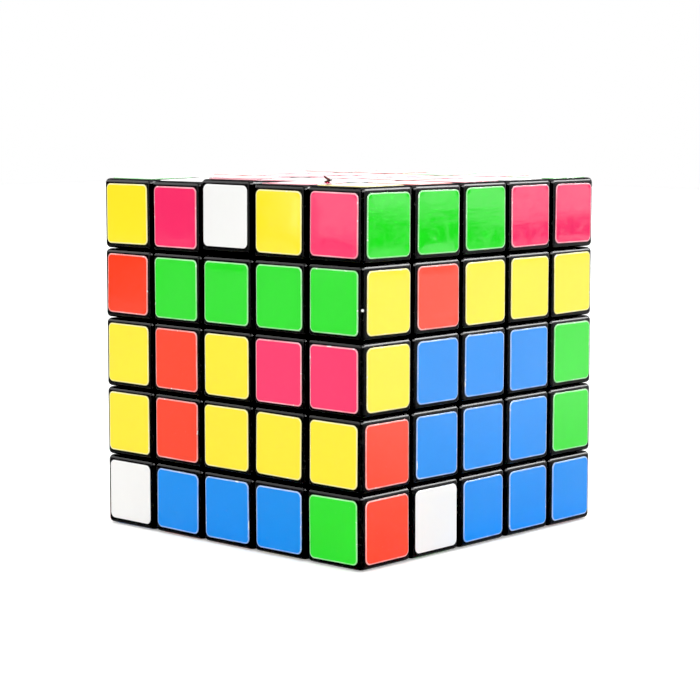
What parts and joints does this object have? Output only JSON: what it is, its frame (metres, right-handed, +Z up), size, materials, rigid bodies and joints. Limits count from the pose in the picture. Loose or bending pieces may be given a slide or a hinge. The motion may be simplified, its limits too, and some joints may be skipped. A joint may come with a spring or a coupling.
{
  "type": "twisty puzzle cube",
  "caption": "Handheld twisty puzzle cube with black plastic cubies, coloured square stickers and layers that turn about a sprung core.",
  "frame": {"origin": "centre of the cube, where the three turning axes cross", "axes": "+Z up through the top face, -Y out of the front face, +X out of the right face"},
  "size_m": [0.063, 0.063, 0.063],
  "materials": {
    "black_plastic": "gloss",
    "core_plastic": "satin",
    "screw_steel": "satin",
    "spring_steel": "satin",
    "sticker_yellow": "satin",
    "sticker_crimson": "satin",
    "sticker_orange_red": "satin",
    "sticker_green": "satin",
    "sticker_blue": "satin",
    "sticker_white": "satin"
  },
  "bodies": {
    "corner_bottom_front_left": {"corner_bottom_front_left": "black_plastic"},
    "edge_lower_front_left": {"edge_lower_front_left": "black_plastic"},
    "edge_middle_front_left": {"edge_middle_front_left": "black_plastic"},
    "edge_upper_front_left": {"edge_upper_front_left": "black_plastic"},
    "corner_top_front_left": {"corner_top_front_left": "black_plastic"},
    "edge_row_bottom_left": {"edge_row_bottom_left": "black_plastic"},
    "centre_row_lower_left": {"centre_row_lower_left": "black_plastic"},
    "centre_row_middle_left": {"centre_row_middle_left": "black_plastic"},
    "centre_row_upper_left": {"centre_row_upper_left": "black_plastic"},
    "edge_row_top_left": {"edge_row_top_left": "black_plastic"},
    "corner_bottom_rear_left": {"corner_bottom_rear_left": "black_plastic"},
    "edge_lower_rear_left": {"edge_lower_rear_left": "black_plastic"},
    "edge_middle_rear_left": {"edge_middle_rear_left": "black_plastic"},
    "edge_upper_rear_left": {"edge_upper_rear_left": "black_plastic"},
    "corner_top_rear_left": {"corner_top_rear_left": "black_plastic"},
    "edge_row_bottom_front": {"edge_row_bottom_front": "black_plastic"},
    "centre_row_lower_front": {"centre_row_lower_front": "black_plastic"},
    "centre_row_middle_front": {"centre_row_middle_front": "black_plastic"},
    "centre_row_upper_front": {"centre_row_upper_front": "black_plastic"},
    "edge_row_top_front": {"edge_row_top_front": "black_plastic"},
    "centre_block_bottom": {"centre_block_bottom": "black_plastic"},
    "lower_inner_slice_hub": {"lower_inner_slice_hub": "core_plastic"},
    "core": {"core_spider": "core_plastic", "screw_right": "screw_steel", "screw_left": "screw_steel", "screw_rear": "screw_steel", "screw_front": "screw_steel", "screw_top": "screw_steel", "screw_bottom": "screw_steel", "spring_right": "spring_steel", "spring_left": "spring_steel", "spring_rear": "spring_steel", "spring_front": "spring_steel", "spring_top": "spring_steel", "spring_bottom": "spring_steel"},
    "upper_inner_slice_hub": {"upper_inner_slice_hub": "core_plastic"},
    "centre_block_top": {"centre_block_top": "black_plastic"},
    "edge_row_bottom_rear": {"edge_row_bottom_rear": "black_plastic"},
    "centre_row_lower_rear": {"centre_row_lower_rear": "black_plastic"},
    "centre_row_middle_rear": {"centre_row_middle_rear": "black_plastic"},
    "centre_row_upper_rear": {"centre_row_upper_rear": "black_plastic"},
    "edge_row_top_rear": {"edge_row_top_rear": "black_plastic"},
    "corner_bottom_front_right": {"corner_bottom_front_right": "black_plastic"},
    "edge_lower_front_right": {"edge_lower_front_right": "black_plastic"},
    "edge_middle_front_right": {"edge_middle_front_right": "black_plastic"},
    "edge_upper_front_right": {"edge_upper_front_right": "black_plastic"},
    "corner_top_front_right": {"corner_top_front_right": "black_plastic"},
    "edge_row_bottom_right": {"edge_row_bottom_right": "black_plastic"},
    "centre_row_lower_right": {"centre_row_lower_right": "black_plastic"},
    "centre_row_middle_right": {"centre_row_middle_right": "black_plastic"},
    "centre_row_upper_right": {"centre_row_upper_right": "black_plastic"},
    "edge_row_top_right": {"edge_row_top_right": "black_plastic"},
    "corner_bottom_rear_right": {"corner_bottom_rear_right": "black_plastic"},
    "edge_lower_rear_right": {"edge_lower_rear_right": "black_plastic"},
    "edge_middle_rear_right": {"edge_middle_rear_right": "black_plastic"},
    "edge_upper_rear_right": {"edge_upper_rear_right": "black_plastic"},
    "corner_top_rear_right": {"corner_top_rear_right": "black_plastic"}
  },
  "joints": [
    {"name": "top_layer_turn", "type": "hinge", "parent": "core", "child": "centre_block_top", "pos_m": [0, 0, 0], "axis": [0, 0, 1], "continuous": true},
    {"name": "upper_inner_layer_turn", "type": "hinge", "parent": "core", "child": "upper_inner_slice_hub", "pos_m": [0, 0, 0], "axis": [0, 0, 1], "continuous": true},
    {"name": "lower_inner_layer_turn", "type": "hinge", "parent": "core", "child": "lower_inner_slice_hub", "pos_m": [0, 0, 0], "axis": [0, 0, 1], "continuous": true},
    {"name": "bottom_layer_turn", "type": "hinge", "parent": "core", "child": "centre_block_bottom", "pos_m": [0, 0, 0], "axis": [0, 0, 1], "continuous": true},
    {"name": "front_face_turn", "type": "hinge", "parent": "core", "child": "centre_row_middle_front", "pos_m": [0, 0, 0], "axis": [0, 1, 0], "range_deg": [-180, 180]},
    {"name": "front_face_turn_top", "type": "hinge", "parent": "centre_block_top", "child": "edge_row_top_front", "pos_m": [0, 0, 0], "axis": [0, 1, 0], "range_deg": [-180, 180]},
    {"name": "front_face_turn_upper", "type": "hinge", "parent": "upper_inner_slice_hub", "child": "centre_row_upper_front", "pos_m": [0, 0, 0], "axis": [0, 1, 0], "range_deg": [-180, 180]},
    {"name": "front_face_turn_lower", "type": "hinge", "parent": "lower_inner_slice_hub", "child": "centre_row_lower_front", "pos_m": [0, 0, 0], "axis": [0, 1, 0], "range_deg": [-180, 180]},
    {"name": "front_face_turn_bottom", "type": "hinge", "parent": "centre_block_bottom", "child": "edge_row_bottom_front", "pos_m": [0, 0, 0], "axis": [0, 1, 0], "range_deg": [-180, 180]},
    {"name": "rear_face_turn", "type": "hinge", "parent": "core", "child": "centre_row_middle_rear", "pos_m": [0, 0, 0], "axis": [0, 1, 0], "range_deg": [-180, 180]},
    {"name": "rear_face_turn_top", "type": "hinge", "parent": "centre_block_top", "child": "edge_row_top_rear", "pos_m": [0, 0, 0], "axis": [0, 1, 0], "range_deg": [-180, 180]},
    {"name": "rear_face_turn_upper", "type": "hinge", "parent": "upper_inner_slice_hub", "child": "centre_row_upper_rear", "pos_m": [0, 0, 0], "axis": [0, 1, 0], "range_deg": [-180, 180]},
    {"name": "rear_face_turn_lower", "type": "hinge", "parent": "lower_inner_slice_hub", "child": "centre_row_lower_rear", "pos_m": [0, 0, 0], "axis": [0, 1, 0], "range_deg": [-180, 180]},
    {"name": "rear_face_turn_bottom", "type": "hinge", "parent": "centre_block_bottom", "child": "edge_row_bottom_rear", "pos_m": [0, 0, 0], "axis": [0, 1, 0], "range_deg": [-180, 180]},
    {"name": "left_face_turn", "type": "hinge", "parent": "core", "child": "centre_row_middle_left", "pos_m": [0, 0, 0], "axis": [1, 0, 0], "range_deg": [-180, 180]},
    {"name": "left_face_turn_top_front", "type": "hinge", "parent": "edge_row_top_front", "child": "corner_top_front_left", "pos_m": [0, 0, 0], "axis": [1, 0, 0], "range_deg": [-180, 180]},
    {"name": "left_face_turn_top", "type": "hinge", "parent": "centre_block_top", "child": "edge_row_top_left", "pos_m": [0, 0, 0], "axis": [1, 0, 0], "range_deg": [-180, 180]},
    {"name": "left_face_turn_top_rear", "type": "hinge", "parent": "edge_row_top_rear", "child": "corner_top_rear_left", "pos_m": [0, 0, 0], "axis": [1, 0, 0], "range_deg": [-180, 180]},
    {"name": "left_face_turn_upper_front", "type": "hinge", "parent": "centre_row_upper_front", "child": "edge_upper_front_left", "pos_m": [0, 0, 0], "axis": [1, 0, 0], "range_deg": [-180, 180]},
    {"name": "left_face_turn_upper", "type": "hinge", "parent": "upper_inner_slice_hub", "child": "centre_row_upper_left", "pos_m": [0, 0, 0], "axis": [1, 0, 0], "range_deg": [-180, 180]},
    {"name": "left_face_turn_upper_rear", "type": "hinge", "parent": "centre_row_upper_rear", "child": "edge_upper_rear_left", "pos_m": [0, 0, 0], "axis": [1, 0, 0], "range_deg": [-180, 180]},
    {"name": "left_face_turn_middle_front", "type": "hinge", "parent": "centre_row_middle_front", "child": "edge_middle_front_left", "pos_m": [0, 0, 0], "axis": [1, 0, 0], "range_deg": [-180, 180]},
    {"name": "left_face_turn_middle_rear", "type": "hinge", "parent": "centre_row_middle_rear", "child": "edge_middle_rear_left", "pos_m": [0, 0, 0], "axis": [1, 0, 0], "range_deg": [-180, 180]},
    {"name": "left_face_turn_lower_front", "type": "hinge", "parent": "centre_row_lower_front", "child": "edge_lower_front_left", "pos_m": [0, 0, 0], "axis": [1, 0, 0], "range_deg": [-180, 180]},
    {"name": "left_face_turn_lower", "type": "hinge", "parent": "lower_inner_slice_hub", "child": "centre_row_lower_left", "pos_m": [0, 0, 0], "axis": [1, 0, 0], "range_deg": [-180, 180]},
    {"name": "left_face_turn_lower_rear", "type": "hinge", "parent": "centre_row_lower_rear", "child": "edge_lower_rear_left", "pos_m": [0, 0, 0], "axis": [1, 0, 0], "range_deg": [-180, 180]},
    {"name": "left_face_turn_bottom_front", "type": "hinge", "parent": "edge_row_bottom_front", "child": "corner_bottom_front_left", "pos_m": [0, 0, 0], "axis": [1, 0, 0], "range_deg": [-180, 180]},
    {"name": "left_face_turn_bottom", "type": "hinge", "parent": "centre_block_bottom", "child": "edge_row_bottom_left", "pos_m": [0, 0, 0], "axis": [1, 0, 0], "range_deg": [-180, 180]},
    {"name": "left_face_turn_bottom_rear", "type": "hinge", "parent": "edge_row_bottom_rear", "child": "corner_bottom_rear_left", "pos_m": [0, 0, 0], "axis": [1, 0, 0], "range_deg": [-180, 180]},
    {"name": "right_face_turn", "type": "hinge", "parent": "core", "child": "centre_row_middle_right", "pos_m": [0, 0, 0], "axis": [1, 0, 0], "range_deg": [-180, 180]},
    {"name": "right_face_turn_top_front", "type": "hinge", "parent": "edge_row_top_front", "child": "corner_top_front_right", "pos_m": [0, 0, 0], "axis": [1, 0, 0], "range_deg": [-180, 180]},
    {"name": "right_face_turn_top", "type": "hinge", "parent": "centre_block_top", "child": "edge_row_top_right", "pos_m": [0, 0, 0], "axis": [1, 0, 0], "range_deg": [-180, 180]},
    {"name": "right_face_turn_top_rear", "type": "hinge", "parent": "edge_row_top_rear", "child": "corner_top_rear_right", "pos_m": [0, 0, 0], "axis": [1, 0, 0], "range_deg": [-180, 180]},
    {"name": "right_face_turn_upper_front", "type": "hinge", "parent": "centre_row_upper_front", "child": "edge_upper_front_right", "pos_m": [0, 0, 0], "axis": [1, 0, 0], "range_deg": [-180, 180]},
    {"name": "right_face_turn_upper", "type": "hinge", "parent": "upper_inner_slice_hub", "child": "centre_row_upper_right", "pos_m": [0, 0, 0], "axis": [1, 0, 0], "range_deg": [-180, 180]},
    {"name": "right_face_turn_upper_rear", "type": "hinge", "parent": "centre_row_upper_rear", "child": "edge_upper_rear_right", "pos_m": [0, 0, 0], "axis": [1, 0, 0], "range_deg": [-180, 180]},
    {"name": "right_face_turn_middle_front", "type": "hinge", "parent": "centre_row_middle_front", "child": "edge_middle_front_right", "pos_m": [0, 0, 0], "axis": [1, 0, 0], "range_deg": [-180, 180]},
    {"name": "right_face_turn_middle_rear", "type": "hinge", "parent": "centre_row_middle_rear", "child": "edge_middle_rear_right", "pos_m": [0, 0, 0], "axis": [1, 0, 0], "range_deg": [-180, 180]},
    {"name": "right_face_turn_lower_front", "type": "hinge", "parent": "centre_row_lower_front", "child": "edge_lower_front_right", "pos_m": [0, 0, 0], "axis": [1, 0, 0], "range_deg": [-180, 180]},
    {"name": "right_face_turn_lower", "type": "hinge", "parent": "lower_inner_slice_hub", "child": "centre_row_lower_right", "pos_m": [0, 0, 0], "axis": [1, 0, 0], "range_deg": [-180, 180]},
    {"name": "right_face_turn_lower_rear", "type": "hinge", "parent": "centre_row_lower_rear", "child": "edge_lower_rear_right", "pos_m": [0, 0, 0], "axis": [1, 0, 0], "range_deg": [-180, 180]},
    {"name": "right_face_turn_bottom_front", "type": "hinge", "parent": "edge_row_bottom_front", "child": "corner_bottom_front_right", "pos_m": [0, 0, 0], "axis": [1, 0, 0], "range_deg": [-180, 180]},
    {"name": "right_face_turn_bottom", "type": "hinge", "parent": "centre_block_bottom", "child": "edge_row_bottom_right", "pos_m": [0, 0, 0], "axis": [1, 0, 0], "range_deg": [-180, 180]},
    {"name": "right_face_turn_bottom_rear", "type": "hinge", "parent": "edge_row_bottom_rear", "child": "corner_bottom_rear_right", "pos_m": [0, 0, 0], "axis": [1, 0, 0], "range_deg": [-180, 180]}
  ],
  "couplings": [
    {"joint": "front_face_turn_top", "follows": "front_face_turn", "ratio": 1},
    {"joint": "front_face_turn_upper", "follows": "front_face_turn", "ratio": 1},
    {"joint": "front_face_turn_lower", "follows": "front_face_turn", "ratio": 1},
    {"joint": "front_face_turn_bottom", "follows": "front_face_turn", "ratio": 1},
    {"joint": "rear_face_turn_top", "follows": "rear_face_turn", "ratio": 1},
    {"joint": "rear_face_turn_upper", "follows": "rear_face_turn", "ratio": 1},
    {"joint": "rear_face_turn_lower", "follows": "rear_face_turn", "ratio": 1},
    {"joint": "rear_face_turn_bottom", "follows": "rear_face_turn", "ratio": 1},
    {"joint": "left_face_turn_top_front", "follows": "left_face_turn", "ratio": 1},
    {"joint": "left_face_turn_top", "follows": "left_face_turn", "ratio": 1},
    {"joint": "left_face_turn_top_rear", "follows": "left_face_turn", "ratio": 1},
    {"joint": "left_face_turn_upper_front", "follows": "left_face_turn", "ratio": 1},
    {"joint": "left_face_turn_upper", "follows": "left_face_turn", "ratio": 1},
    {"joint": "left_face_turn_upper_rear", "follows": "left_face_turn", "ratio": 1},
    {"joint": "left_face_turn_middle_front", "follows": "left_face_turn", "ratio": 1},
    {"joint": "left_face_turn_middle_rear", "follows": "left_face_turn", "ratio": 1},
    {"joint": "left_face_turn_lower_front", "follows": "left_face_turn", "ratio": 1},
    {"joint": "left_face_turn_lower", "follows": "left_face_turn", "ratio": 1},
    {"joint": "left_face_turn_lower_rear", "follows": "left_face_turn", "ratio": 1},
    {"joint": "left_face_turn_bottom_front", "follows": "left_face_turn", "ratio": 1},
    {"joint": "left_face_turn_bottom", "follows": "left_face_turn", "ratio": 1},
    {"joint": "left_face_turn_bottom_rear", "follows": "left_face_turn", "ratio": 1},
    {"joint": "right_face_turn_top_front", "follows": "right_face_turn", "ratio": 1},
    {"joint": "right_face_turn_top", "follows": "right_face_turn", "ratio": 1},
    {"joint": "right_face_turn_top_rear", "follows": "right_face_turn", "ratio": 1},
    {"joint": "right_face_turn_upper_front", "follows": "right_face_turn", "ratio": 1},
    {"joint": "right_face_turn_upper", "follows": "right_face_turn", "ratio": 1},
    {"joint": "right_face_turn_upper_rear", "follows": "right_face_turn", "ratio": 1},
    {"joint": "right_face_turn_middle_front", "follows": "right_face_turn", "ratio": 1},
    {"joint": "right_face_turn_middle_rear", "follows": "right_face_turn", "ratio": 1},
    {"joint": "right_face_turn_lower_front", "follows": "right_face_turn", "ratio": 1},
    {"joint": "right_face_turn_lower", "follows": "right_face_turn", "ratio": 1},
    {"joint": "right_face_turn_lower_rear", "follows": "right_face_turn", "ratio": 1},
    {"joint": "right_face_turn_bottom_front", "follows": "right_face_turn", "ratio": 1},
    {"joint": "right_face_turn_bottom", "follows": "right_face_turn", "ratio": 1},
    {"joint": "right_face_turn_bottom_rear", "follows": "right_face_turn", "ratio": 1}
  ]
}
